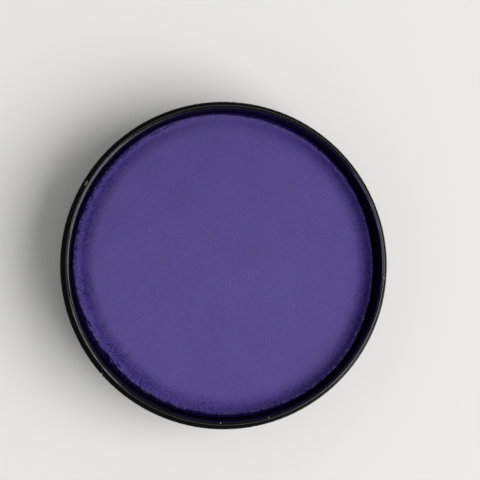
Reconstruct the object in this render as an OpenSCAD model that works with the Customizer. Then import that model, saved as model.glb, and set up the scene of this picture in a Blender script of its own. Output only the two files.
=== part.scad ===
// Round pot of pressed cake paint with a screw neck, standing in its own upturned lid.
// Millimetres, +Z up. The origin is the middle of the lid's outer face, which is the
// face that the set stands on. The pot stands on the liner inside the lid.

/* [Pot] */
// Outside diameter of the collar, which the lid's skirt matches
pot_d = 90; // [60:1:120]
// Height of the pot from its foot to its rim
pot_h = 20; // [17:0.5:40]
// Thickness of the side wall and of the neck
wall_t = 0.8; // [0.7:0.1:1.6]
// Thickness of the floor under the cake
floor_t = 1.2; // [0.8:0.1:3]
// Inside radius of the corner between the wall and the floor
corner_r = 0.8; // [0.4:0.1:2]
// How far the wall's radius narrows from the collar to the foot
taper = 0.7; // [0.2:0.1:1.5]
// Height of the foot ring under the floor
foot_h = 1; // [0.6:0.1:2]
// Width of the foot ring
foot_w = 1.8; // [1.2:0.1:4]
// Thickness of the collar that stops the lid's skirt
collar_t = 1.4; // [1:0.1:3]
// Height of the neck above the collar
neck_h = 6; // [5.5:0.5:9]
// Radius of the rounded edges of the neck, the collar, the foot and the lid's skirt
edge_r = 0.25; // [0.1:0.05:0.3]
// Radius of the rim's inner edge, limited by the wall
rim_r = 0.3; // [0.2:0.05:0.6]

/* [Thread] */
// Number of thread starts, each engaged by one lug of the lid
thread_starts = 4; // [2:1:6]
// Radial depth of a thread and of a lug
thread_depth = 0.7; // [0.4:0.1:1]
// Height of a thread at its root
thread_w = 1.5; // [1.2:0.1:2]
// Slope of the threads in degrees
thread_slope = 1.6; // [0.5:0.1:2]
// Share of the pitch circle that the neck's threads cover
thread_cover = 0.8; // [0.5:0.05:0.9]
// Angle of the middle of the first thread, in degrees
thread_turn = 40; // [0:5:90]

/* [Cake] */
// Depth of the cake's lip below the rim
cake_drop = 4.5; // [3:0.1:8]
// Gap between the cake and the wall at the floor
cake_gap = 0.6; // [0.3:0.1:1.5]
// Height of the middle of the cake above its lip
dome_h = 0.3; // [0:0.05:0.8]
// Depth of the pressed trough below the lip
trough_depth = 0.8; // [0.2:0.05:1]
// Distance from the cake's edge to the bottom of the trough
trough_in = 2; // [1.5:0.1:3]
// Distance from the cake's edge to the start of the level top
level_in = 6.5; // [4:0.1:10]
// Width of the lip around the trough
lip_w = 0.7; // [0.4:0.1:1.2]

/* [Lid] */
// Thickness of the lid's plate
lid_t = 1.5; // [1:0.1:3]
// Thickness of the lid's skirt
skirt_t = 1; // [0.8:0.1:1.6]
// Radial clearance between the lid's lugs and the neck
lid_clear = 0.2; // [0.1:0.05:0.6]
// Gap that the closed lid's skirt leaves above the collar
seat_gap = 0.3; // [0.1:0.1:0.8]
// Distance from the skirt's edge to the lugs
lug_margin = 0.6; // [0.4:0.1:1]
// Distance between the grip grooves around the skirt
grip_pitch = 2; // [1.2:0.1:4]
// Depth of the grip grooves
grip_depth = 0.25; // [0.1:0.05:0.4]
// Height of the plain bands above and below the grip grooves
grip_margin = 1.2; // [1:0.1:2]
// Radius of the rounded edge around the plate
lid_edge_r = 1; // [0.5:0.1:1.4]
// Thickness of the foam liner
liner_t = 1; // [0.5:0.1:2]
// Radial gap between the liner and the skirt
liner_gap = 0.25; // [0.1:0.05:0.5]

/* [Labels] */
// Thickness of the label stock
label_t = 0.15; // [0.1:0.05:0.3]
// Width of the lid's raised border around its label
lid_border = 6; // [3:0.5:20]
// Depth of the lid's label recess
lid_recess = 0.3; // [0.3:0.05:0.5]
// Gap between a label and the step around it
label_gap = 1.2; // [0.5:0.1:4]

/* [Hidden] */

$fn = 180;
fillet_fn = 32;
rim_flat = 0.05;      // least width of the level top of the rim
bury = 0.3;           // how far a thread or lug reaches into its wall, so that they are one solid
cut = 1;              // how far a cutter runs past the face that it opens
thread_flank = 30;    // degrees between a thread's flank and the level
profile_steps = 12;   // points along each stretch of the cake's top
lug_fill = 0.9;       // share of the gap between two threads that a lug fills

// Pot radii, from the collar inwards
collar_r = pot_d / 2;
skirt_in_r = collar_r - skirt_t;
lug_crest_r = skirt_in_r - thread_depth;
neck_r = lug_crest_r - lid_clear;
foot_r = neck_r - taper;
well_r = neck_r - wall_t;             // inside of the pot at the rim
well_floor_r = foot_r - wall_t;       // inside of the pot at the floor
rim_in_r = min(rim_r, wall_t - edge_r - rim_flat);

// Lid heights, with the plate down and the skirt up
skirt_h = liner_t + neck_h - seat_gap;
lid_h = lid_t + skirt_h;
liner_z = lid_t;
liner_r = skirt_in_r - liner_gap;

// Pot heights, above the surface that the lid stands on
foot_z = liner_z + liner_t;
floor_z = foot_z + foot_h;
inside_z = floor_z + floor_t;
rim_z = foot_z + pot_h;
collar_z = rim_z - neck_h;

// Cake
cake_r = well_floor_r - cake_gap;
cake_z = rim_z - cake_drop;

// Threads: their middle leaves room for a lug between a thread and the collar
thread_arc = thread_cover * 360 / thread_starts;
lug_arc = (360 / thread_starts - thread_arc) * lug_fill;
lug_up = lug_margin + thread_w / 2;
thread_up = seat_gap + lug_up + thread_w;

// A smooth step from 0 to 1 as t goes from 0 to 1
function ease(t) = (1 - cos(180 * t)) / 2;

// Points of the cake's top between two radii and two heights
function slope_points(r0, z0, r1, z1) = [
    for (i = [0 : profile_steps - 1])
        let (t = i / profile_steps)
        [r0 + (r1 - r0) * t, z0 + (z1 - z0) * ease(t)]
];

// A turned solid from a profile in the radius and height plane
module turned() {
    rotate_extrude() children();
}

// A rectangle of the profile plane from [r0, z0] to [r1, z1], with the listed corners rounded.
// A corner is [0 or 1, 0 or 1, radius]: its low or high side, its low or high end, its rounding.
module block(r0, z0, r1, z1, corners = []) {
    difference() {
        translate([r0, z0]) square([r1 - r0, z1 - z0]);
        for (c = corners)
            translate([c[0] == 0 ? r0 : r1, c[1] == 0 ? z0 : z1])
                mirror([c[0], 0])
                    mirror([0, c[1]])
                        difference() {
                            translate([-cut, -cut]) square(c[2] + cut);
                            translate([c[2], c[2]]) circle(c[2], $fn = fillet_fn);
                        }
    }
}

// A ring of thread segments. side is 1 when they stand outwards and -1 when they stand inwards.
module thread_ring(root_r, side, arc, height, turn) {
    half_crest = thread_w / 2 - thread_depth * tan(thread_flank);
    half_buried = thread_w / 2 + bury * tan(thread_flank);
    for (i = [0 : thread_starts - 1])
        rotate(turn + i * 360 / thread_starts)
            translate([0, 0, height])
                rotate([thread_slope, 0, 0])
                    rotate(-arc / 2)
                        rotate_extrude(angle = arc)
                            polygon([
                                [root_r - side * bury, -half_buried],
                                [root_r + side * thread_depth, -half_crest],
                                [root_r + side * thread_depth, half_crest],
                                [root_r - side * bury, half_buried]
                            ]);
}

// The side of the pot: an upright neck, a wall that narrows down to the floor, and the foot ring
module pot_wall_profile() {
    block(well_r, collar_z - collar_t, neck_r, rim_z, [[0, 1, rim_in_r], [1, 1, edge_r]]);
    polygon([
        [foot_r, floor_z],
        [neck_r, collar_z - collar_t],
        [well_r, collar_z - collar_t],
        [well_floor_r, inside_z + corner_r],
        [well_floor_r, floor_z]
    ]);
    block(foot_r - foot_w, foot_z, foot_r, floor_z + floor_t / 2,
          [[0, 0, edge_r], [1, 0, edge_r]]);
}

// The rounded corner between the wall and the floor, inside the pot
module pot_corner_profile() {
    difference() {
        translate([well_floor_r - corner_r, inside_z - floor_t / 2])
            square([corner_r + wall_t / 2, corner_r + floor_t / 2]);
        translate([well_floor_r - corner_r, inside_z + corner_r])
            circle(corner_r, $fn = fillet_fn);
    }
}

module pot() {
    color([0.05, 0.05, 0.06]) {
        turned() {
            pot_wall_profile();
            pot_corner_profile();
            block(0, floor_z, well_floor_r + wall_t / 2, inside_z);
            block(neck_r - wall_t / 2, collar_z - collar_t, collar_r, collar_z,
                  [[1, 0, edge_r], [1, 1, edge_r]]);
        }
        thread_ring(neck_r, 1, thread_arc, collar_z + thread_up, thread_turn);
    }
}

module paint_cake() {
    lip_r = cake_r - lip_w;
    trough_r = cake_r - trough_in;
    level_r = cake_r - level_in;
    bevel = lip_w / 4;
    color([0.34, 0.29, 0.53])
        turned()
            polygon(concat(
                [[0, inside_z], [cake_r - corner_r, inside_z], [cake_r, inside_z + corner_r]],
                [[cake_r, cake_z - bevel], [cake_r - bevel, cake_z]],
                slope_points(lip_r, cake_z, trough_r, cake_z - trough_depth),
                slope_points(trough_r, cake_z - trough_depth, level_r, cake_z + dome_h / 2),
                slope_points(level_r, cake_z + dome_h / 2, 0, cake_z + dome_h),
                [[0, cake_z + dome_h]]
            ));
}

module pot_label() {
    color([0.9, 0.9, 0.88])
        translate([0, 0, floor_z - label_t])
            cylinder(h = label_t, r = foot_r - foot_w - label_gap);
}

// The lid as it lies: its plate on the surface and its skirt upwards
module lid() {
    grips = round(2 * PI * collar_r / grip_pitch);
    groove_r = grip_pitch / 3;
    color([0.05, 0.05, 0.06])
        difference() {
            union() {
                turned() {
                    block(0, 0, collar_r, lid_t, [[1, 0, lid_edge_r]]);
                    block(skirt_in_r, lid_edge_r, collar_r, lid_h,
                          [[0, 1, edge_r], [1, 1, edge_r]]);
                }
                rotate([180, 0, 0])
                    thread_ring(skirt_in_r, -1, lug_arc, lug_up - lid_h, -thread_turn);
            }
            translate([0, 0, -cut])
                cylinder(h = lid_recess + cut, r = collar_r - lid_border);
            for (i = [0 : grips - 1])
                rotate(i * 360 / grips)
                    translate([collar_r + groove_r - grip_depth, 0, grip_margin])
                        cylinder(h = lid_h - 2 * grip_margin, r = groove_r, $fn = fillet_fn);
        }
}

module lid_liner() {
    color([0.93, 0.93, 0.92])
        translate([0, 0, liner_z])
            cylinder(h = liner_t, r = liner_r);
}

module lid_label() {
    color([0.9, 0.9, 0.88])
        translate([0, 0, lid_recess - label_t])
            cylinder(h = label_t, r = collar_r - lid_border - label_gap);
}

pot();
paint_cake();
pot_label();
lid();
lid_liner();
lid_label();
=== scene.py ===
"""The looks of a round black pot of violet cake paint that stands in its own upturned lid.

The pot, the lid and the labels are the frame's own solids with better materials. The cake, its
crumbs and the foam liner are modelled here. Lengths are in metres, and MM turns millimetres into
them. Where a comment says so, a table holds millimetres.
"""

import math
import random

import bmesh
import bpy
import numpy as np
from mathutils import Matrix, Vector, noise


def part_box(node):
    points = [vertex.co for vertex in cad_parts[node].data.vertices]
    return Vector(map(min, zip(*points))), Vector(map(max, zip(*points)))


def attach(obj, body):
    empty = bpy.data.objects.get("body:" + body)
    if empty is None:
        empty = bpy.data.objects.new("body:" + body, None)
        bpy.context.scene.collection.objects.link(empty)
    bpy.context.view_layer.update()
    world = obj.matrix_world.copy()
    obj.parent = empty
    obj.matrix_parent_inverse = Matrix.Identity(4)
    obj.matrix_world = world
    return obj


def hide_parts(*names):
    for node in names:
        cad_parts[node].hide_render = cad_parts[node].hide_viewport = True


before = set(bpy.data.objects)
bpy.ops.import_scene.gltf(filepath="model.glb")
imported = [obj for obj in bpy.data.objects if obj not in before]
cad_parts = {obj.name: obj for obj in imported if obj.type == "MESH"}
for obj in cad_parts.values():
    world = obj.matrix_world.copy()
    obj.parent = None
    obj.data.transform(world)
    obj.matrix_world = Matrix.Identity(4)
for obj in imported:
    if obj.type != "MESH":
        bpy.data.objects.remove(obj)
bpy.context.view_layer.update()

MM = 0.001
CHANCE = random.Random(11)

# Places that the frame gives
POT_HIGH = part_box("pot")[1]
CAKE_LOW, CAKE_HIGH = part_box("paint_cake")
LINER_LOW, LINER_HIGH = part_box("lid_liner")
RIM_Z = POT_HIGH.z
CAKE_R = CAKE_HIGH.x
LINER_R = LINER_HIGH.x

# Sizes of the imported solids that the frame's boxes don't give
NECK_R = POT_HIGH.x - 1.9 * MM   # outside of the neck
WELL_R = NECK_R - 0.8 * MM       # inside of the neck
TAPER = 0.7 * MM                 # how far the wall narrows from the neck to the floor
NECK_FOOT_Z = RIM_Z - 7.4 * MM   # where the upright neck turns into the narrowing wall
LIP_Z = RIM_Z - 4.5 * MM         # the cake's lip
CAKE_CORNER = 0.8 * MM           # bevel around the foot of the cake
DOME_H = CAKE_HIGH.z - LIP_Z     # the middle of the cake above its lip

# Colours, as red, green and blue from 0 to 255
PAINT_RGB = (88, 76, 142)
PAINT_WARM_RGB = (89, 75, 141)
# painted shade for the trough and the flank
PAINT_HOLLOW_SHADE_RGB = (43, 20, 115)
# painted shade in the cloth's pits, on the lip's grains and in the cracks
PAINT_PIT_SHADE_RGB = (20, 5, 86)
# painted shade for the flank down in the gap by the wall
PAINT_SLOT_SHADE_RGB = (54, 30, 136)
# painted highlight on the beads and on some crumbs
PAINT_BEAD_HIGHLIGHT_RGB = (150, 142, 212)
PLASTIC_RGB = (9, 9, 11)
STAIN_RGB = (24, 14, 66)
DUST_RGB = (214, 210, 202)
# painted highlight on the rim
RIM_HIGHLIGHT_RGB = (128, 130, 140)
LINER_RGB = (232, 232, 228)
LABEL_RGB = (228, 226, 220)
FLOOR_RGB = (243, 242, 239)

# Roughness and specular level of each material. Nodes replace the plastic's roughness.
PAINT_FINISH = (0.88, 0.2)
PLASTIC_FINISH = (0.32, 0.64)
LINER_FINISH = (0.75, 0.3)
LABEL_FINISH = (0.7, 0.3)
FLOOR_FINISH = (0.7, 0.5)


def linear(rgb):
    """The colour in Blender's linear light, with an alpha of 1."""
    parts = [c / 255 for c in rgb]
    return tuple(c / 12.92 if c <= 0.04045 else ((c + 0.055) / 1.055) ** 2.4 for c in parts) + (1,)


def add_object(name, data):
    """A new object in the scene, made of data."""
    thing = bpy.data.objects.new(name, data)
    bpy.context.scene.collection.objects.link(thing)
    return thing


# ---------------------------------------------------------------- camera, floor and light

PX_MM = 3.71                    # pixels to a millimetre in the plane of the rim
PICTURE = 480                   # width and height of the picture in pixels
POT_PX = (227.2, 264.3)         # where the middle of the rim lies in the picture
CAMERA_DISTANCE = 300 * MM
TILT_LEFT = math.radians(5.0)   # the camera stands a little to the left of the pot's axis
TILT_DOWN = math.radians(2.2)   # and a little towards the bottom of the picture

WORLD_LIGHT = 0.34              # the sky's share of a full light on a level face
SKY_RGB = (0.985, 0.99, 1)      # the sky's tint, in linear light
SKY_LOW = 0.84                  # how bright the sky looks at the horizon
SKY_HIGH = 0.06                 # and overhead, to the camera and in reflections
SKY_FADE = (0.03, 0.32)         # how steeply upwards one looks where the fade starts and ends

KEY_AZIMUTH = math.radians(-17)
KEY_ELEVATION = math.radians(44)
KEY_DISTANCE = 4.0
KEY_WIDTH = 4.2
KEY_HEIGHT = 3.1
KEY_LIGHT = 0.75                # the lamp's share of a full light on a level face

FLOOR_HALF = 1.5                # half the width of the floor
FLOOR_DROP = 0.02 * MM          # keeps the lid's face and the floor out of one plane

AIM = Vector((
    (PICTURE / 2 - POT_PX[0]) / PX_MM * MM,
    (POT_PX[1] - PICTURE / 2) / PX_MM * MM,
    RIM_Z,
))
BACK = Vector((-math.sin(TILT_LEFT), -math.sin(TILT_DOWN), 1))
BACK.z = math.sqrt(1 - BACK.x ** 2 - BACK.y ** 2)
RIGHT = Vector((0, 1, 0)).cross(BACK).normalized()
UP = BACK.cross(RIGHT)
CAMERA_PLACE = AIM + BACK * CAMERA_DISTANCE
HALF_VIEW = PICTURE / PX_MM * MM / 2 / CAMERA_DISTANCE


def make_camera():
    """A camera above the pot, whose picture has the photo's frame."""
    camera = add_object("camera", bpy.data.cameras.new("camera"))
    camera.data.angle = 2 * math.atan(HALF_VIEW)
    camera.data.clip_start = 0.01
    turn = Matrix((RIGHT, UP, BACK)).transposed().to_4x4()
    camera.matrix_world = Matrix.Translation(CAMERA_PLACE) @ turn
    bpy.context.scene.camera = camera


def from_picture(x, y, z):
    """The point at height z that a point of the picture shows."""
    half = PICTURE / 2
    ray = (x - half) / half * HALF_VIEW * RIGHT + (half - y) / half * HALF_VIEW * UP - BACK
    return CAMERA_PLACE + ray * ((z - CAMERA_PLACE.z) / ray.z)


def make_floor():
    """A wide level sheet, a hair below the lid."""
    half, z = FLOOR_HALF, -FLOOR_DROP
    mesh = bpy.data.meshes.new("floor")
    corners = [(-half, -half, z), (half, -half, z), (half, half, z), (-half, half, z)]
    mesh.from_pydata(corners, [], [(0, 1, 2, 3)])
    floor = add_object("floor", mesh)
    material, _ = new_material("floor", linear(FLOOR_RGB), *FLOOR_FINISH)
    mesh.materials.append(material)


def make_key_light():
    """One large, soft area lamp aimed at the pot."""
    data = bpy.data.lights.new("key", "AREA")
    data.shape = "RECTANGLE"
    data.size = KEY_WIDTH
    data.size_y = KEY_HEIGHT
    lift = math.sin(KEY_ELEVATION)
    data.energy = KEY_LIGHT * math.pi ** 2 * KEY_DISTANCE ** 2 / lift
    lamp = add_object("key", data)
    reach = math.cos(KEY_ELEVATION)
    back = Vector((math.cos(KEY_AZIMUTH) * reach, math.sin(KEY_AZIMUTH) * reach, lift))
    lamp.location = Vector((0, 0, RIM_Z)) + back * KEY_DISTANCE
    lamp.rotation_mode = "QUATERNION"
    lamp.rotation_quaternion = back.to_track_quat("Z", "Y")
    lamp.visible_camera = False


def make_world():
    """A sky that lights evenly, and looks pale at the horizon and dark overhead in reflections."""
    world = bpy.data.worlds.new("world")
    bpy.context.scene.world = world
    world.use_nodes = True
    tree = world.node_tree
    background = tree.nodes["Background"]
    background.inputs["Color"].default_value = (*SKY_RGB, 1)
    path = tree.nodes.new("ShaderNodeLightPath")
    seen = path.outputs["Is Camera Ray"]
    for ray in ("Is Glossy Ray", "Is Transmission Ray"):
        either = tree.nodes.new("ShaderNodeMath")
        either.operation = "MAXIMUM"
        tree.links.new(seen, either.inputs[0])
        tree.links.new(path.outputs[ray], either.inputs[1])
        seen = either.outputs[0]
    height = tree.nodes.new("ShaderNodeSeparateXYZ")
    tree.links.new(tree.nodes.new("ShaderNodeTexCoord").outputs["Generated"], height.inputs[0])
    sky = tree.nodes.new("ShaderNodeMapRange")
    sky.interpolation_type = "SMOOTHSTEP"
    sky.inputs["From Min"].default_value = SKY_FADE[0]
    sky.inputs["From Max"].default_value = SKY_FADE[1]
    sky.inputs["To Min"].default_value = SKY_LOW
    sky.inputs["To Max"].default_value = SKY_HIGH
    tree.links.new(height.outputs["Z"], sky.inputs["Value"])
    strength = tree.nodes.new("ShaderNodeMapRange")
    strength.inputs["To Min"].default_value = WORLD_LIGHT
    tree.links.new(seen, strength.inputs["Value"])
    tree.links.new(sky.outputs[0], strength.inputs["To Max"])
    tree.links.new(strength.outputs[0], background.inputs["Strength"])


# ---------------------------------------------------------------- material helpers


def new_material(name, colour, roughness, specular):
    """A material with one Principled shader. Returns the material and the shader."""
    material = bpy.data.materials.new(name)
    material.use_nodes = True
    shader = material.node_tree.nodes["Principled BSDF"]
    shader.inputs["Base Color"].default_value = colour
    shader.inputs["Roughness"].default_value = roughness
    shader.inputs["Specular IOR Level"].default_value = specular
    material.diffuse_color = colour
    return material, shader


class Nodes:
    """Short calls for a material's nodes. Values may be numbers or another node's output."""

    def __init__(self, material):
        self.tree = material.node_tree

    def put(self, kind, **settings):
        """A new node of a kind, with its settings."""
        node = self.tree.nodes.new("ShaderNode" + kind)
        for key, value in settings.items():
            setattr(node, key, value)
        return node

    def feed(self, socket, value):
        """Links a node's output to socket, or sets the socket to a plain value."""
        if isinstance(value, bpy.types.NodeSocket):
            self.tree.links.new(value, socket)
        else:
            socket.default_value = value

    def math(self, operation, first, second=0.0, third=0.0):
        node = self.put("Math", operation=operation)
        for socket, value in zip(node.inputs, (first, second, third)):
            self.feed(socket, value)
        return node.outputs[0]

    def times(self, first, *others):
        for each in others:
            first = self.math("MULTIPLY", first, each)
        return first

    def ramp(self, value, low, high, to_low=0.0, to_high=1.0):
        """A smooth step of value from to_low to to_high between low and high."""
        node = self.put("MapRange", interpolation_type="SMOOTHSTEP")
        for key, each in (("Value", value), ("From Min", low), ("From Max", high),
                          ("To Min", to_low), ("To Max", to_high)):
            self.feed(node.inputs[key], each)
        return node.outputs[0]

    def mix(self, share, first, second):
        node = self.put("Mix", data_type="RGBA")
        self.feed(node.inputs["Factor"], share)
        first_socket, second_socket = [s for s in node.inputs if s.type == "RGBA"]
        self.feed(first_socket, first)
        self.feed(second_socket, second)
        return [s for s in node.outputs if s.type == "RGBA"][0]

    def place(self):
        """The point on the object, in metres."""
        return self.put("TexCoord").outputs["Object"]

    def parts(self, vector):
        """The three coordinates of vector."""
        node = self.put("SeparateXYZ")
        self.feed(node.inputs[0], vector)
        return node.outputs

    def vector(self, *coordinates):
        node = self.put("CombineXYZ")
        for socket, value in zip(node.inputs, coordinates):
            self.feed(socket, value)
        return node.outputs[0]

    def vector_math(self, operation, first, second=None):
        node = self.put("VectorMath", operation=operation)
        self.feed(node.inputs[0], first)
        if second is not None:
            self.feed(node.inputs["Scale" if operation == "SCALE" else 1], second)
        return node.outputs["Value" if operation in ("LENGTH", "DISTANCE") else "Vector"]

    def noise(self, vector, size, detail=3.0, roughness=0.5):
        """Noise from 0 to 1 whose features are about size metres across."""
        node = self.put("TexNoise")
        self.feed(node.inputs["Vector"], vector)
        node.inputs["Scale"].default_value = 1 / size
        node.inputs["Detail"].default_value = detail
        node.inputs["Roughness"].default_value = roughness
        return node.outputs["Fac"]

    def cells(self, vector, size):
        """The distance to the nearest of scattered points that lie about size metres apart."""
        node = self.put("TexVoronoi")
        self.feed(node.inputs["Vector"], vector)
        node.inputs["Scale"].default_value = 1 / size
        return node.outputs["Distance"]

    def attribute(self, name):
        """The number that the mesh's points carry under name."""
        return self.put("Attribute", attribute_name=name).outputs["Fac"]

    def bump(self, height, distance, strength):
        """A normal bent by a height from 0 to 1 that stands for distance metres."""
        node = self.put("Bump")
        self.feed(node.inputs["Height"], height)
        node.inputs["Distance"].default_value = distance
        node.inputs["Strength"].default_value = strength
        return node.outputs[0]


# ---------------------------------------------------------------- the cake's form

# Rings of the mesh, from the edge inwards
EDGE_SEGMENTS = 1920            # around the trough and the lip
MIDDLE_SEGMENTS = EDGE_SEGMENTS // 4
COARSE_SEGMENTS = EDGE_SEGMENTS // 16
FINE_STEP = 0.14 * MM           # between rings in the trough and the lip
MIDDLE_STEP = 0.5 * MM
COARSE_STEP = 1.5 * MM
FINE_BAND = 6.6 * MM            # width of the finely divided band at the edge
MIDDLE_BAND = 20 * MM           # how far in the middle steps reach
LAST_RING = 2 * MM              # least radius of a ring of the level top
SETTLE_BAND = 6 * MM            # over which the ragged outline turns into round rings
UNDERSIDE_RINGS = (10 * MM, 30 * MM)    # radii of the rings inside the cake's foot

# Edge, lip and trough
EDGE_ROUND = 0.16 * MM          # rounding of the lip's outer edge
EDGE_CRUMBLE = 0.16 * MM        # how far crumbling moves the edge
EDGE_CRUMB = 0.9 * MM           # and the size of what crumbles
EDGE_CLEAR = 0.35 * MM          # least gap between the edge and the neck
CHIP_JAG = 0.35                 # how much a chip's outline varies
CHIP_TEETH = 9
LIP_SUNK = 0.05 * MM            # how far the lip lies below the solid's lip
LIP_BEVEL = 0.16 * MM           # how far it falls towards the cake's edge
LIP_CRUMBLE = 0.12 * MM         # height of the crumbled relief on it
LIP_CRUMB = 0.6 * MM
LEAST_LIP = 0.25 * MM           # least width of the lip
LEAST_TROUGH = 0.5 * MM         # least way from the lip's inner edge to the trough's bottom
TROUGH_CRUMBLE = 0.035 * MM
TROUGH_CRUMB = 0.45 * MM
FALL_START = 0.6                # share of the lip's width at which the trough starts
RISE_START = 0.9                # share of the way to its bottom at which it starts to rise
RISE_POWER = 0.65               # below 1, the trough's inner side starts steep
LEVEL_IN = 5.8 * MM             # from the edge to the start of the level top

# The pressing cloth
WEAVE_PITCH = 0.60 * MM
WEAVE_ANGLE = math.radians(-50)
WEAVE_RELIEF = 0.08 * MM
WEAVE_WAVER = 0.16 * MM         # how far the threads stray
WEAVE_ACROSS = 0.58             # share of the threads that run one way
WORN_RELIEF = 1.6               # height of the crumbs that replace worn threads
WORN_CRUMB = 0.36 * MM
WEAVE_START = 0.7               # share of the lip's width at which the marks start
WEAVE_RISE = 0.6 * MM           # over which they rise to their full strength
WEAVE_FADE = (2.4 * MM, 6.2 * MM)   # distances inward between which they fade
MOST_WEAVE = 1.4                # most that weave_share counts for
MEAN_PATCH, LEAST_PATCH = 0.85, 0.25    # how clear the marks are from patch to patch

# Beads where the cloth crossed the lip, lit by a painted highlight
BEAD_IN = 0.45 * MM             # their distance from the cake's edge
BEAD_SPREAD = 0.3 * MM

# The paint's marks, painted shade in the pits and painted highlight on the beads: the weave's height where
# a mark starts, and the way to its full strength
PIT_LEVEL, PIT_REACH = 0.02, 0.5
BEAD_LEVEL, BEAD_REACH = 0.22, 0.3
PIT_PATCHES = 0.35              # how patchy the painted shade in the pits is
PATCH_SIZE = 1.6 * MM
GRAIN_CONTRAST = 1.3            # of the grains of painted shade on the lip
GRAIN_SIZE = 0.5 * MM
CRACK_FULL_SHADE = 0.16 * MM          # depth of a crack whose painted shade "pit_shade" is 1
MOST_CRACK_SHADE = 1.1                 # most painted shade that a crack can take
TROUGH_FULL_SHADE = 0.62              # depth in mm of a trough whose painted shade "deep" is 1

# The flank, whose rings lie these distances below the edge, in mm
FLANK_DROPS = (9, 6, 5, 4.4, 3.8, 3.3, 2.8, 2.4, 2.1, 1.8, 1.5, 1.2, 0.9, 0.6, 0.35, 0.15)
FLANK_START = 0.4               # where the flank starts to widen, in mm below the edge
WALL_GAP = 0.12 * MM            # between the cake's flank and the wall
FLANK_SHADE = 0.6                # the painted shade "deep" at the edge
SLOT_SHADE = 2.4                 # and what the painted shade gains down to where the flank meets the wall


def ease(t):
    """A smooth step from 0 to 1 as t goes from 0 to 1."""
    t = np.clip(t, 0, 1)
    return t * t * (3 - 2 * t)


def around(values):
    """A smooth closed curve through values spaced evenly round the circle from +X."""
    count = len(values)
    spectrum = np.fft.rfft(values) / count
    spectrum[1:count // 2] *= 2

    def curve(angle):
        return sum(part.real * np.cos(k * angle) - part.imag * np.sin(k * angle)
                   for k, part in enumerate(spectrum))

    return curve


def ripple(low, high, size, count=14):
    """A smooth, random, closed curve round the circle, about size high, made of count waves."""
    terms = [(CHANCE.randint(low, high), CHANCE.uniform(0, 2 * math.pi), CHANCE.uniform(0.5, 1))
             for _ in range(count)]
    scale = size / math.sqrt(sum(t[2] ** 2 for t in terms) / 2)

    def wave(angle):
        return scale * sum(w * np.cos(k * angle + turn) for k, turn, w in terms)

    return wave


def turned_by(angle, middle):
    """The angle from middle, between -pi and pi."""
    return (angle - middle + math.pi) % (2 * math.pi) - math.pi


def hump(angle, middle, half_width):
    """1 at middle, falling smoothly to 0 at half_width on either side."""
    away = np.clip(np.abs(turned_by(angle, middle)) / half_width, 0, 1)
    return (1 + np.cos(math.pi * away)) / 2


# Curves round the cake, each from values every 30 degrees from +X, counter-clockwise seen from
# above. First in mm: how far the edge lies outwards, the lip's width, how far inward the
# trough's bottom lies, its depth, and how far below the edge the flank meets the wall.
edge_shift = around([-0.26, -0.16, -0.09, 0.25, 0.48, 0.30, 0.34, -0.35, -0.20, -0.11, 0.30, 0.28])
lip_width = around([0.32, 0.34, 0.40, 0.45, 0.70, 0.80, 0.95, 0.58, 0.50, 0.45, 0.40, 0.34])
trough_in = around([1.00, 1.10, 1.60, 1.90, 2.00, 1.90, 2.30, 2.00, 1.70, 1.40, 1.30, 1.10])
trough_depth = around([0.74, 0.66, 0.46, 0.26, 0.36, 0.52, 0.52, 0.48, 0.46, 0.46, 0.52, 0.66])
flank_drop = around([4.4, 3.6, 2.5, 1.9, 1.8, 1.9, 2.2, 4.2, 4.6, 3.4, 2.4, 3.2])
# Then as shares: how clear the cloth's marks are, how worn, how much painted shade darkens the lip's
# grains, how ragged the lip is, and how many beads with painted highlights lie on it.
weave_share = around([0.62, 0.50, 0.28, 0.06, 0.40, 1.05, 1.25, 1.25, 1.20, 0.60, 0.42, 0.50])
weave_wear = around([0.65, 0.65, 0.60, 0.60, 0.50, 0.44, 0.42, 0.40, 0.42, 0.60, 0.70, 0.66])
lip_shade = around([0.46, 0.36, 0.20, 0.14, 0.45, 0.86, 0.50, 0.36, 0.50, 0.70, 0.56, 0.34])
raggedness = around([0.60, 0.65, 0.60, 0.45, 0.60, 0.85, 1.00, 1.20, 1.25, 0.80, 0.60, 0.60])
bead_share = around([0.50, 0.36, 0.30, 0.04, 0.00, 0.00, 0.00, 0.00, 0.00, 0.05, 0.60, 0.85])

# Chips in the cake's edge: a point of the picture, then width along the edge and depth, in mm
CHIPS = [
    (87, 318, 1.1, 0.26), (98, 341, 1.0, 0.20), (106, 355, 2.0, 0.34), (114, 366, 1.3, 0.34),
    (124, 378, 1.2, 0.16), (150, 395, 1.6, 0.14), (80, 232, 1.2, 0.16), (92, 196, 1.0, 0.16),
    (199, 411, 1.8, 0.26), (365, 315, 1.0, 0.14), (357, 333, 1.2, 0.16), (318, 377, 1.1, 0.14),
    (320, 147, 0.7, 0.24), (338, 168, 0.8, 0.18), (351, 182, 0.7, 0.15),
]

# Cracks and pressed lines: the points of a line in the picture, then width and depth in mm
CRACKS = [
    (((85.6, 320.5), (88.2, 322.0), (90.2, 326.0)), 0.34, 0.36),
    (((105.0, 354.5), (108.5, 356.0), (112.0, 360.5), (113.0, 364.0)), 0.34, 0.36),
    (((117.5, 364.0), (119.5, 367.0)), 0.40, 0.28),
    (((150.5, 135.6), (155.0, 133.2), (160.0, 131.0)), 0.28, 0.20),
    (((163.5, 128.8), (168.5, 126.0), (174.0, 122.8)), 0.28, 0.24),
    (((213.0, 402.5), (217.5, 403.5)), 0.50, 0.05),
    (((353.0, 320.0), (356.0, 324.5)), 0.28, 0.08),
    (((347.0, 330.0), (353.0, 337.0)), 0.28, 0.09),
    (((359.6, 300.0), (366.3, 306.3)), 0.28, 0.07),
]

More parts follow.
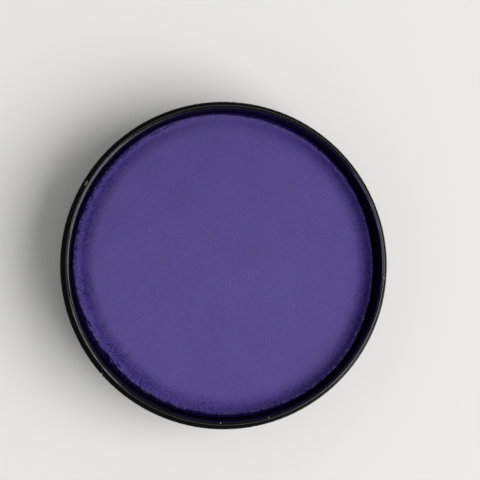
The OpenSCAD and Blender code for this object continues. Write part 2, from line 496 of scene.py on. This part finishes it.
# Pinholes in the level top, drawn only as painted shade: a point of the picture and a radius in mm
PINHOLES = [
    (138.3, 317.7, 0.17), (186.0, 146.3, 0.20), (262.0, 141.0, 0.16), (327.0, 268.5, 0.15),
    (352.5, 249.0, 0.14), (168.0, 349.0, 0.14), (233.0, 143.5, 0.12), (300.5, 331.0, 0.13),
    (212.8, 201.3, 0.15), (254.4, 244.0, 0.12), (208.0, 256.8, 0.12), (196.8, 239.5, 0.11),
]

# Pale specks in the level top, in the same way
LINT = [(232.8, 232.0, 0.13), (245.6, 226.4, 0.11), (226.4, 256.8, 0.10), (246.0, 204.0, 0.11)]

# Random waves round the edge: the fewest and most waves in a turn, a size and a number of waves
edge_mid = ripple(25, 70, 0.045 * MM)
lip_width_wave = ripple(8, 60, 0.12 * MM)
lip_height_wave = ripple(10, 90, 0.035 * MM)
lip_fine_wave = ripple(150, 420, 0.022 * MM, 26)
trough_wave = ripple(3, 24, 0.035 * MM)
patch_wave = ripple(8, 46, 0.35)
flank_wave = ripple(40, 200, 0.25 * MM, 26)


def cake_edge(angle):
    """The cake's radius around its edge."""
    radius = CAKE_R + edge_shift(angle) * MM
    x, y = radius * np.cos(angle), radius * np.sin(angle)
    radius = radius + raggedness(angle) * (edge_mid(angle) + EDGE_CRUMBLE * crumbly(x, y, EDGE_CRUMB))
    for px, py, width, depth in CHIPS:
        place = from_picture(px, py, LIP_Z)
        middle = math.atan2(place.y, place.x)
        half = width * MM / CAKE_R
        jag = 1 + CHIP_JAG * np.cos(CHIP_TEETH * turned_by(angle, middle) / half)
        radius = radius - depth * MM * hump(angle, middle, half) * jag
    return np.minimum(radius, WELL_R - EDGE_CLEAR)


def scatter(seed, cells=128):
    """A smooth random function of x and y from -1 to 1, which repeats after so many cells."""
    table = np.random.default_rng(seed).uniform(-1, 1, (cells, cells))

    def value(x, y):
        column, row = np.floor(x).astype(int), np.floor(y).astype(int)
        across, along = ease(x - column), ease(y - row)
        low, high = (table[column % cells, (row + k) % cells] * (1 - across)
                     + table[(column + 1) % cells, (row + k) % cells] * across for k in (0, 1))
        return low * (1 - along) + high * along

    return value


crumble = scatter(3)
CRUMBLE_SUM = 1.75              # the heights of three octaves together
OCTAVE_SHIFT = 17               # cells between the octaves' patterns


def crumbly(x, y, size, octaves=3):
    """Broken, random relief about size metres across, between -1 and 1."""
    total = 0
    for k in range(octaves):
        finer = 2 ** k
        total = total + crumble(x / size * finer + OCTAVE_SHIFT * k, y / size * finer) / finer
    return total / CRUMBLE_SUM


def weave_height(x, y, angle):
    """The pressing cloth's relief, from about -1 in its pits to 1, and crumbled where it's worn."""
    # The threads stray in long waves and, from thread to thread, at random
    bent_x = x + WEAVE_WAVER * np.sin(y / (2.9 * MM) + 1.3) + WEAVE_WAVER * np.sin((x + y) / (4.7 * MM))
    bent_y = y + WEAVE_WAVER * np.sin(x / (3.4 * MM) + 0.4) + WEAVE_WAVER * np.sin((x - y) / (5.3 * MM) + 2)
    bent_x = bent_x + WEAVE_WAVER * crumbly(x, y, 0.9 * MM, 2)
    bent_y = bent_y + WEAVE_WAVER * crumbly(y, x, 0.9 * MM, 2)
    c, s = math.cos(WEAVE_ANGLE), math.sin(WEAVE_ANGLE)
    turn = 2 * math.pi / WEAVE_PITCH
    threads = (WEAVE_ACROSS * np.cos(turn * (c * bent_y - s * bent_x))
               + (1 - WEAVE_ACROSS) * np.cos(turn * (c * bent_x + s * bent_y)))
    wear = weave_wear(angle)
    return threads * (1 - wear) + WORN_RELIEF * wear * crumbly(x, y, WORN_CRUMB, 1)


def weave_mask(inward, angle):
    """Where the cloth marked the paint, from 0 to 1."""
    start = lip_width(angle) * MM * WEAVE_START
    fade_from, fade_to = WEAVE_FADE
    rise = ease((inward - start) / WEAVE_RISE)
    fall = ease((inward - fade_from) / (fade_to - fade_from))
    patch = np.clip(MEAN_PATCH + patch_wave(angle), LEAST_PATCH, 1)
    return rise * (1 - fall) * patch * np.clip(weave_share(angle), 0, MOST_WEAVE)


def bead_mask(inward, angle):
    """Where the beads lie on the lip, with their relief and painted highlight, from 0 to 1."""
    return np.clip(bead_share(angle), 0, 1) * np.exp(-((inward - BEAD_IN) / BEAD_SPREAD) ** 2)


def crack_depth(x, y):
    """How far the cracks and pressed lines cut into the top."""
    depth = np.zeros_like(x)
    for points, width, cut in CRACKS:
        places = [from_picture(px, py, LIP_Z).xy for px, py in points]
        for (ax, ay), (bx, by) in zip(places, places[1:]):
            dx, dy = bx - ax, by - ay
            share = np.clip(((x - ax) * dx + (y - ay) * dy) / (dx * dx + dy * dy), 0, 1)
            away = np.hypot(x - ax - share * dx, y - ay - share * dy)
            groove = cut * MM * np.exp(-(away / (width * MM / 2)) ** 2)
            depth = np.maximum(depth, groove)
    return depth


def pressed_form(inward, angle, x, y):
    """The top's lip, trough and dome. Returns its height, and how far it fell and rose again."""
    rag = raggedness(angle)
    lip_w = np.maximum(lip_width(angle) * MM + rag * lip_width_wave(angle), LEAST_LIP)
    bottom_in = np.maximum(trough_in(angle) * MM, lip_w + LEAST_TROUGH)
    fall_in, rise_in = lip_w * FALL_START, bottom_in * RISE_START
    fall = ease((inward - fall_in) / (bottom_in - fall_in))
    rise = ease((inward - rise_in) / (LEVEL_IN - rise_in)) ** RISE_POWER
    lip_z = LIP_Z - LIP_SUNK + rag * (lip_height_wave(angle) + lip_fine_wave(angle))
    lip_z = lip_z + LIP_CRUMBLE * rag * crumbly(x, y, LIP_CRUMB)
    bottom_z = LIP_Z - trough_depth(angle) * MM + trough_wave(angle)
    bottom_z = bottom_z + TROUGH_CRUMBLE * crumbly(x, y, TROUGH_CRUMB)
    level_z = LIP_Z + DOME_H / 2
    bevel = LIP_BEVEL * np.clip(1 - inward / lip_w, 0, 1) ** 1.5
    z = lip_z - bevel + (bottom_z - lip_z) * fall + (level_z - bottom_z) * rise
    dome = DOME_H / 2 * np.clip(1 - (x ** 2 + y ** 2) / (CAKE_R - LEVEL_IN) ** 2, 0, 1)
    return z + dome, fall, rise


def cake_top(inward, angle, edge):
    """The cake's top at a distance inward from its edge: its height, then the paint's marks."""
    inward = np.broadcast_to(inward, angle.shape)
    radius = edge - inward
    x, y = radius * np.cos(angle), radius * np.sin(angle)
    z, fall, rise = pressed_form(inward, angle, x, y)
    weave, mask = weave_height(x, y, angle), weave_mask(inward, angle)
    beads = bead_mask(inward, angle)
    crack = crack_depth(x, y)
    round_off = np.clip(1 - inward / EDGE_ROUND, 0, 1)
    z = z + WEAVE_RELIEF * weave * np.maximum(mask, beads) - crack
    z = z - EDGE_ROUND * (1 - np.sqrt(1 - round_off ** 2))
    # Marks: "pit_shade" is painted shade in the cloth's pits, on the lip's grains and in the cracks,
    # "deep" is painted shade in the trough, and "bead_highlight" a painted highlight on the beads
    patchy = 1 + PIT_PATCHES * crumbly(x, y, PATCH_SIZE, 2)
    pit_shade = mask * np.clip((PIT_LEVEL - weave) / PIT_REACH, 0, 1) * patchy
    grain = 1 + GRAIN_CONTRAST * crumbly(x, y, GRAIN_SIZE)
    shaded_grains = np.clip(lip_shade(angle) * grain, 0, 1) * (1 - fall)
    pit_shade = np.maximum(np.maximum(pit_shade, shaded_grains), np.clip(crack / CRACK_FULL_SHADE, 0, MOST_CRACK_SHADE))
    # painted shade in the trough, as strong as the trough is deep
    deep = np.clip((fall - rise) * trough_depth(angle) / TROUGH_FULL_SHADE, 0, 1)
    bead_highlight = beads * np.clip((weave - BEAD_LEVEL) / BEAD_REACH, 0, 1)
    return z, pit_shade, deep, bead_highlight


def wall_inside(z):
    """Inside radius of the pot's wall at a height."""
    low_z = CAKE_LOW.z + CAKE_CORNER
    return WELL_R - TAPER * (1 - np.clip((z - low_z) / (NECK_FOOT_Z - low_z), 0, 1))


class Rings:
    """A closed mesh of rings of points about the Z axis, each joined to the one before.

    The rings run from the middle of the underside outwards, up the side and back in over the
    top, so that every face looks outwards. Each point carries the paint's three marks.
    """

    def __init__(self, bottom):
        self.points = [bottom]
        self.marks = [(0, 0, 0)]
        self.faces = []
        self.last = (0, 1)

    def add(self, radius, angle, z, pit_shade=0.0, deep=0.0, bead_highlight=0.0):
        """A ring with one point at each angle, joined to the last ring."""
        start, count = len(self.points), len(angle)
        radius, z, pit_shade, deep, bead_highlight = (np.broadcast_to(v, angle.shape)
                                       for v in (radius, z, pit_shade, deep, bead_highlight))
        self.points.extend(np.c_[radius * np.cos(angle), radius * np.sin(angle), z].tolist())
        self.marks.extend(np.c_[pit_shade, deep, bead_highlight].tolist())
        self.join(self.last, (start, count))
        self.last = (start, count)

    def close(self, z):
        """The last point, on the axis."""
        start = len(self.points)
        self.points.append((0, 0, float(z)))
        self.marks.append((0, 0, 0))
        self.join(self.last, (start, 1))

    def join(self, old, new):
        """Faces from one ring to the next, whose count may be a whole number of times more or less."""
        steps = max(old[1], new[1])
        for i in range(steps):
            a, b = (old[0] + k * old[1] // steps % old[1] for k in (i, i + 1))
            d, c = (new[0] + k * new[1] // steps % new[1] for k in (i, i + 1))
            corners = [p for k, p in enumerate((a, b, c, d)) if p not in (a, b, c, d)[:k]]
            self.faces.append(corners)

    def build(self, name):
        """The piece that the rings make."""
        mesh = bpy.data.meshes.new(name)
        mesh.from_pydata(self.points, [], self.faces)
        for column, key in enumerate(("pit_shade", "deep", "bead_highlight")):
            layer = mesh.attributes.new(key, "FLOAT", "POINT")
            layer.data.foreach_set("value", [mark[column] for mark in self.marks])
        mesh.shade_smooth()
        return add_object(name, mesh)


def ring_angles(count):
    """Evenly spaced angles round the circle, from +X."""
    return np.arange(count) * (2 * math.pi / count)


def level_height(radius):
    """Height of the cake's level top above its lip."""
    return DOME_H / 2 * (2 - (radius / (CAKE_R - LEVEL_IN)) ** 2)


def add_underside(rings, fine, middle, coarse):
    """The cake's foot, from the middle outwards, with the bevel around it."""
    floor_z = CAKE_LOW.z
    for radius, angle in zip(UNDERSIDE_RINGS, (coarse, middle)):
        rings.add(radius, angle, floor_z)
    rings.add(CAKE_R - CAKE_CORNER, fine, floor_z)
    rings.add(CAKE_R, fine, floor_z + CAKE_CORNER)


def add_flank(rings, angle, edge):
    """The side, upwards: close along the wall, then drawing in to the lip."""
    edge_z = cake_top(0.0, angle, edge)[0]
    for drop in FLANK_DROPS:
        z = edge_z - drop * MM
        out = ease((drop - FLANK_START) / (flank_drop(angle) - FLANK_START))
        reach = wall_inside(z) - WALL_GAP - edge
        radius = edge + reach * out + flank_wave(angle) * out * (1 - out)
        # the flank carries painted shade, darkest where it meets the wall
        rings.add(radius, angle, z, deep=FLANK_SHADE + SLOT_SHADE * out)


def add_top(rings, fine, middle, coarse, edge):
    """The top, inwards: the ragged band in fine rings, then wider and rounder ones."""
    inward = 0.0
    rounded = EDGE_ROUND - 0.01 * MM    # a little less, since the steps don't add up exactly
    while inward < FINE_BAND:
        rings.add(edge - inward, fine, *cake_top(inward, fine, edge))
        inward += EDGE_ROUND / 4 if inward < rounded else FINE_STEP
    edge = cake_edge(middle)
    while inward < MIDDLE_BAND:
        settle = 1 - ease((inward - FINE_BAND) / SETTLE_BAND)
        radius = CAKE_R - inward + (edge - CAKE_R) * settle
        rings.add(radius, middle, *cake_top(edge - radius, middle, edge))
        inward += MIDDLE_STEP
    while inward < CAKE_R - LAST_RING:
        rings.add(CAKE_R - inward, coarse, LIP_Z + level_height(CAKE_R - inward))
        inward += COARSE_STEP
    rings.close(CAKE_HIGH.z)


def make_cake(material):
    """The pressed cake, which stands for the CAD's plain one."""
    fine = ring_angles(EDGE_SEGMENTS)
    middle = ring_angles(MIDDLE_SEGMENTS)
    coarse = ring_angles(COARSE_SEGMENTS)
    edge = cake_edge(fine)
    rings = Rings((0, 0, CAKE_LOW.z))
    add_underside(rings, fine, middle, coarse)
    add_flank(rings, fine, edge)
    add_top(rings, fine, middle, coarse, edge)
    cake = rings.build("pressed_cake")
    cake.data.materials.append(material)
    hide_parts("paint_cake")
    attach(cake, "pot_body")


# Crumbs. A side is in degrees from +X, and a reach is the least distance from the cake's edge
# and the spread of what is added to it, in mm, as sizes are.
CRUMB_COUNT = 70
CRUMB_SIDE = (215, 35)          # middle and spread of the stretch where half of them lie
CRUMB_REACH = (0.15, 1.4)
CRUMB_SIZE = (0.05, 0.13)
CRUMB_KNOBS = 0.45              # how lumpy a crumb is
CRUMB_KNOB_SIZE = 1.3
BEAD_CRUMB_COUNT = 90                # ones with a painted highlight, as the cloth's beads
BEAD_CRUMB_SIDE = (-62, 70)          # from one end of their stretch to the other
BEAD_CRUMB_REACH = (0.12, 0.5)
BEAD_CRUMB_SIZE = (0.06, 0.12)
BEAD_CRUMB_HIGHLIGHT = (0.2, 0.9)


def near_edge(least, spread):
    """A random distance inward from the cake's edge, for a reach in mm."""
    return abs(CHANCE.gauss(0, spread)) * MM + least * MM


def crumb_places():
    """The crumbs: an angle, a distance inward from the cake's edge, a size and a share of painted
    highlight.
    """
    for _ in range(CRUMB_COUNT):
        anywhere, there = CHANCE.uniform(0, 2 * math.pi), math.radians(CHANCE.gauss(*CRUMB_SIDE))
        angle = CHANCE.choice((anywhere, there))
        yield angle, near_edge(*CRUMB_REACH), CHANCE.uniform(*CRUMB_SIZE) * MM, 0.0
    for _ in range(BEAD_CRUMB_COUNT):
        angle = math.radians(CHANCE.uniform(*BEAD_CRUMB_SIDE))
        inward, size = near_edge(*BEAD_CRUMB_REACH), CHANCE.uniform(*BEAD_CRUMB_SIZE) * MM
        yield angle, inward, size, CHANCE.uniform(*BEAD_CRUMB_HIGHLIGHT)


def add_crumb(work, middle, size):
    """A lump at middle. Returns its points."""
    lump = bmesh.ops.create_icosphere(work, subdivisions=2, radius=1)["verts"]
    stretch = Vector((CHANCE.uniform(0.8, 1.6), CHANCE.uniform(0.7, 1.1), CHANCE.uniform(0.6, 0.9)))
    turn = Matrix.Rotation(CHANCE.uniform(0, math.pi), 3, "Z")
    seed = Vector((CHANCE.uniform(0, 50),) * 3)
    for vert in lump:
        knob = 1 + CRUMB_KNOBS * noise.noise(vert.co * CRUMB_KNOB_SIZE + seed)
        vert.co = middle + turn @ (vert.co * knob * stretch) * size
    return lump


def make_crumbs(material):
    """Crumbs of paint that lie along the lip and in the trough, half sunk into the cake, some with a
    painted highlight.
    """
    work = bmesh.new()
    bead_highlight = []
    for angle, inward, size, highlight_share in crumb_places():
        spot = np.array([angle])
        edge = cake_edge(spot)
        z = float(cake_top(inward, spot, edge)[0][0])
        radius = float(edge[0]) - inward
        middle = Vector((radius * math.cos(angle), radius * math.sin(angle), z))
        bead_highlight.extend([highlight_share] * len(add_crumb(work, middle, size)))
    mesh = bpy.data.meshes.new("paint_crumbs")
    work.to_mesh(mesh)
    work.free()
    mesh.attributes.new("bead_highlight", "FLOAT", "POINT").data.foreach_set("value", bead_highlight)
    mesh.shade_smooth()
    crumbs = add_object("paint_crumbs", mesh)
    mesh.materials.append(material)
    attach(crumbs, "pot_body")


# ---------------------------------------------------------------- the paint's material

STREAK_SIZE = 7 * MM
STREAK_STRETCH = (1.6, 0.55)    # across and along the streaks, which run along Y
CLOUD_SIZE = 12 * MM
POWDER_SIZE = 0.5 * MM
FLECK_SPACING = 3.1 * MM
SIDE_SHADE_WAY = (0.34, 0.94)         # painted shade grows towards -X and +Y, by these shares
SIDE_SHADE_SPAN = (-12 * MM, 40 * MM)
GRAIN_WIDTH = 0.22 * MM
GRAIN_RELIEF = 0.02 * MM

# Shares of the colours of painted shade, the painted shade in the pinholes, and how pale the lint is
HOLLOW_SHADE_SHARE = 0.62
PIT_SHADE_SHARE = 0.9
PINHOLE_SHADE = 0.58
LINT_SHADE = 1.6


def paint_colour(n, x, y):
    """Two violets in cloudy streaks, with painted shade where the marks say so and a painted highlight on
    the beads.
    """
    across, along = STREAK_STRETCH
    streaks = n.noise(n.vector(n.times(x, across), n.times(y, along), 0.0), STREAK_SIZE, 4, 0.6)
    deep, pit_shade = n.attribute("deep"), n.attribute("pit_shade")
    colour = n.mix(n.ramp(streaks, 0.42, 0.62), linear(PAINT_RGB), linear(PAINT_WARM_RGB))
    colour = n.mix(n.times(deep, HOLLOW_SHADE_SHARE), colour, linear(PAINT_HOLLOW_SHADE_RGB))
    # painted shade deepens down the flank into the gap by the wall
    colour = n.mix(n.ramp(deep, 1.0, 1.6), colour, linear(PAINT_SLOT_SHADE_RGB))
    # painted shade in the pits, on the lip and in the cracks
    colour = n.mix(n.times(pit_shade, PIT_SHADE_SHARE), colour, linear(PAINT_PIT_SHADE_RGB))
    # painted highlight on the beads
    return n.mix(n.attribute("bead_highlight"), colour, linear(PAINT_BEAD_HIGHLIGHT_RGB))


def paint_tone(n, place, x, y):
    """What the colour is multiplied by: clouds, powder, flecks, painted shade to one side and in the
    pinholes, and pale lint.
    """
    flat = n.vector(x, y, 0.0)
    clouds = n.ramp(n.noise(flat, CLOUD_SIZE, 4, 0.55), 0.3, 0.7, 0.965, 1.035)
    powder = n.ramp(n.noise(place, POWDER_SIZE, 3), 0.3, 0.7, 0.93, 1.07)
    flecks = n.ramp(n.cells(flat, FLECK_SPACING), 0.018, 0.05, 0.84, 1)
    # painted shade towards one side of the top
    aside = n.math("SUBTRACT", n.times(y, SIDE_SHADE_WAY[1]), n.times(x, SIDE_SHADE_WAY[0]))
    side_shade = n.ramp(aside, *SIDE_SHADE_SPAN, 1.01, 0.9)
    tone = n.times(clouds, powder, flecks, side_shade)
    # painted shade in the pinholes; the lint is paler
    for marks, shade in ((PINHOLES, PINHOLE_SHADE), (LINT, LINT_SHADE)):
        for px, py, radius in marks:
            middle = (*from_picture(px, py, LIP_Z).xy, 0)
            away = n.vector_math("DISTANCE", flat, middle)
            tone = n.times(tone, n.ramp(away, radius * 0.4 * MM, radius * 1.3 * MM, shade, 1))
    return tone


def paint_material():
    """Matt, powdery pressed paint."""
    material, shader = new_material("paint", linear(PAINT_RGB), *PAINT_FINISH)
    n = Nodes(material)
    place = n.place()
    x, y, _ = n.parts(place)
    colour = n.vector_math("SCALE", paint_colour(n, x, y), paint_tone(n, place, x, y))
    grain = n.bump(n.noise(place, GRAIN_WIDTH, 4, 0.6), GRAIN_RELIEF, 0.6)
    n.feed(shader.inputs["Base Color"], colour)
    n.feed(shader.inputs["Normal"], grain)
    return material


# ---------------------------------------------------------------- the plastic's material

# Pale specks on the rim and the threads: a point of the picture, then the distance below the
# rim and a radius in mm
SPECKS = [
    (86.9, 181.8, 2.0, 0.30), (86.2, 183.0, 2.0, 0.30), (85.5, 184.2, 2.0, 0.30),
    (373.7, 205.8, 0.1, 0.24), (384.0, 278.0, 0.1, 0.22), (101.6, 374.0, 6.0, 0.28),
    (220.6, 422.9, 0.1, 0.20), (268.8, 417.7, 0.1, 0.20),
]
SPECK_SHARE = 0.9

# Painted highlights along the rim, as paler stretches: a radius in mm, then the middle and the
# half width of the stretch in degrees from +X, and a strength
RIM_HIGHLIGHTS = [
    (42.55, 14, 26, 0.55), (42.62, 158, 36, 0.5), (42.8, 149, 26, 0.5), (42.9, 211, 22, 0.75),
    (43.02, 212, 21, 0.85),
]
HIGHLIGHT_CORE = 0.08 * MM            # half the width of a painted highlight line at full strength
HIGHLIGHT_EDGE = 0.22 * MM            # and where it ends

ARC_R = 43 * MM                 # radius at which distances around the plastic are true
WEAR_SIZE = 7 * MM              # patches polished by hands
WEAR_ROUGH = (0.13, 0.21)       # roughness of a polished patch and of a dull one
SCUFF_WIDTH = 0.12 * MM
SCUFF_ROUGH = 0.08              # how much rougher a scuff is
DUST_SPACING = 2.3 * MM
MOULD_GRAIN = 0.5 * MM          # texture of the moulded faces
MOULD_RELIEF = 0.004 * MM
FILM_EDGE = (0.02 * MM, 0.12 * MM)      # how far into the wall the film of paint ends
FILM_SHARE = (0.85, 0.35)       # how thick it is below the lip and at the rim
FILM_ROUGH = 0.25               # how much rougher it makes the plastic
SMEAR_WIDTH = 1.6 * MM
HIGHLIGHT_GAPS = 0.9 * MM             # size of the breaks in a painted highlight line


def film_share(n, z, radius, arc):
    """How thick the film of paint is inside the neck, smeared around it, from 0 to 1."""
    inside = n.ramp(radius, WELL_R + FILM_EDGE[0], WELL_R + FILM_EDGE[1], 1, 0)
    film = n.times(n.ramp(z, LIP_Z - 1 * MM, RIM_Z, *FILM_SHARE),
                   n.ramp(z, CAKE_LOW.z - 0.3 * MM, CAKE_LOW.z))
    smears = n.noise(n.vector(n.times(arc, 0.35), z, 0.0), SMEAR_WIDTH, 4, 0.6)
    return n.times(inside, film, n.ramp(smears, 0.3, 0.75, 0.45, 1))


def add_rim_highlights(n, colour, x, y, z, radius, arc):
    """The colour, with painted highlights as paler stretches along the rim."""
    top = n.ramp(z, RIM_Z - 0.4 * MM, RIM_Z - 0.2 * MM)
    broken = n.noise(n.vector(n.times(arc, 0.3), z, 0.0), HIGHLIGHT_GAPS, 3)
    patch = n.ramp(broken, 0.3, 0.65, 0.3, 1)
    for ring, middle, half, strength in RIM_HIGHLIGHTS:
        away = n.math("ABSOLUTE", n.math("SUBTRACT", radius, ring * MM))
        line = n.ramp(away, HIGHLIGHT_CORE, HIGHLIGHT_EDGE, strength, 0)
        m, h = math.radians(middle), math.radians(half)
        toward = n.math("ADD", n.times(x, math.cos(m)), n.times(y, math.sin(m)))
        stretch = n.ramp(n.math("DIVIDE", toward, radius), math.cos(h), math.cos(h / 2))
        colour = n.mix(n.times(line, stretch, top, patch), colour, linear(RIM_HIGHLIGHT_RGB))
    return colour


def rim_specks(n, place, dust):
    """The dust, with the specks that the photo shows."""
    for px, py, down, size in SPECKS:
        spot = from_picture(px, py, RIM_Z - down * MM)
        away = n.vector_math("DISTANCE", place, tuple(spot))
        near = n.ramp(away, size * 0.5 * MM, size * MM, SPECK_SHARE, 0)
        dust = n.math("MAXIMUM", dust, near)
    return dust


def plastic_material(name, used):
    """Black moulded plastic, scuffed and dusty. A used one has paint and painted highlight lines as well.
    """
    material, shader = new_material(name, linear(PLASTIC_RGB), *PLASTIC_FINISH)
    n = Nodes(material)
    place = n.place()
    x, y, z = n.parts(place)
    radius = n.vector_math("LENGTH", n.vector(x, y, 0.0))
    arc = n.times(n.math("ARCTAN2", y, x), ARC_R)
    # Polished patches, hairline scuffs that run around, and dust
    scuff = n.noise(n.vector(n.times(arc, 0.06), radius, z), SCUFF_WIDTH, 2)
    rough = n.ramp(n.noise(place, WEAR_SIZE, 5, 0.65), 0.3, 0.7, *WEAR_ROUGH)
    rough = n.math("ADD", rough, n.ramp(scuff, 0.62, 0.75, 0, SCUFF_ROUGH))
    colour = n.mix(n.ramp(scuff, 0.66, 0.8, 0, 0.02), linear(PLASTIC_RGB), linear(DUST_RGB))
    dust = n.ramp(n.cells(place, DUST_SPACING), 0.015, 0.04, 0.35, 0)
    if used:
        film = film_share(n, z, radius, arc)
        colour = n.mix(film, colour, linear(STAIN_RGB))
        rough = n.math("MULTIPLY_ADD", film, FILM_ROUGH, rough)
        # painted highlights along the rim
        colour = add_rim_highlights(n, colour, x, y, z, radius, arc)
        dust = rim_specks(n, place, dust)
    n.feed(shader.inputs["Base Color"], n.mix(dust, colour, linear(DUST_RGB)))
    n.feed(shader.inputs["Roughness"], rough)
    n.feed(shader.inputs["Normal"], n.bump(n.noise(place, MOULD_GRAIN, 3), MOULD_RELIEF, 0.5))
    return material


# ---------------------------------------------------------------- the liner and the labels

RING_IN = (41.9 * MM, 42.5 * MM)        # radii between which the ring of paint fades in
RING_OUT = (43.1 * MM, 43.5 * MM)       # and out
SMUDGE_SIZE = 5 * MM
HAZE_SIZE = 11 * MM
FOAM_CELL = 0.35 * MM
FOAM_RELIEF = 0.03 * MM
FIBRE_SIZE = 0.3 * MM
FIBRE_RELIEF = 0.01 * MM
HANDLED_SIZE = 14 * MM          # patches of paper dulled by hands


def liner_material():
    """White closed-cell foam, with paint rubbed on where the rim has pressed it."""
    material, shader = new_material("liner_foam", linear(LINER_RGB), *LINER_FINISH)
    n = Nodes(material)
    place = n.place()
    x, y, _ = n.parts(place)
    radius = n.vector_math("LENGTH", n.vector(x, y, 0.0))
    ring = n.times(n.ramp(radius, *RING_IN), n.ramp(radius, *RING_OUT, 1, 0))
    smudge = n.ramp(n.noise(place, SMUDGE_SIZE, 5, 0.65), 0.5, 0.75, 0.04, 0.5)
    haze = n.ramp(n.noise(place, HAZE_SIZE, 5, 0.7), 0.56, 0.8, 0, 0.12)
    mark = n.math("MAXIMUM", n.times(ring, smudge), haze)
    n.feed(shader.inputs["Base Color"], n.mix(mark, linear(LINER_RGB), linear(PAINT_RGB)))
    n.feed(shader.inputs["Normal"], n.bump(n.cells(place, FOAM_CELL), FOAM_RELIEF, 0.6))
    return material


def label_material():
    """Bare white paper."""
    material, shader = new_material("label_paper", linear(LABEL_RGB), *LABEL_FINISH)
    n = Nodes(material)
    place = n.place()
    fibres = n.noise(place, FIBRE_SIZE, 5, 0.7)
    tone = n.times(n.ramp(fibres, 0.3, 0.7, 0.97, 1.02),
                   n.ramp(n.noise(place, HANDLED_SIZE, 4, 0.6), 0.35, 0.7, 1, 0.93))
    n.feed(shader.inputs["Base Color"], n.vector_math("SCALE", linear(LABEL_RGB)[:3], tone))
    n.feed(shader.inputs["Normal"], n.bump(fibres, FIBRE_RELIEF, 0.6))
    return material


def dress(node, material):
    """Gives a CAD node a material in place of its own."""
    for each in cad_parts[node].material_slots:
        each.material = material


LINER_ROUND = 0.2 * MM          # rounding of the liner's upper edge
DENT_DEPTH = 0.14 * MM
DENT_SPREAD = 0.15 * MM         # how far the dent reaches past either face of the rim
LINER_SEGMENTS = 360
DENT_RINGS = 24
DENT_STEP = 0.1 * MM


def make_liner(material):
    """The foam disc, with the ring that the pot's rim has pressed into it."""
    angle = ring_angles(LINER_SEGMENTS)
    low, high = LINER_LOW.z, LINER_HIGH.z
    rings = Rings((0, 0, low))
    rings.add(LINER_R / 2, angle, low)
    rings.add(LINER_R - LINER_ROUND / 2, angle, low)
    rings.add(LINER_R, angle, low + LINER_ROUND / 2)
    rings.add(LINER_R, angle, high - LINER_ROUND)
    rings.add(LINER_R - LINER_ROUND / 3, angle, high - LINER_ROUND / 3)
    dent_r = (WELL_R + NECK_R) / 2
    dent_half = (NECK_R - WELL_R) / 2 + DENT_SPREAD
    for step in range(DENT_RINGS):
        radius = LINER_R - LINER_ROUND - step * DENT_STEP
        dent = DENT_DEPTH * np.clip(1 - ((radius - dent_r) / dent_half) ** 2, 0, 1)
        rings.add(radius, angle, high - dent)
    rings.add(LINER_R * 0.8, angle, high)
    rings.add(LINER_R * 0.4, angle, high)
    rings.close(high)
    liner = rings.build("foam_disc")
    liner.data.materials.append(material)
    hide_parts("lid_liner")
    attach(liner, "lid_body")


make_camera()
make_world()
make_floor()
make_key_light()
paint = paint_material()
make_cake(paint)
make_crumbs(paint)
make_liner(liner_material())
dress("pot", plastic_material("pot_plastic", used=True))
dress("lid", plastic_material("lid_plastic", used=False))
paper = label_material()
dress("pot_label", paper)
dress("lid_label", paper)

bpy.context.scene.view_settings.view_transform = "Standard"
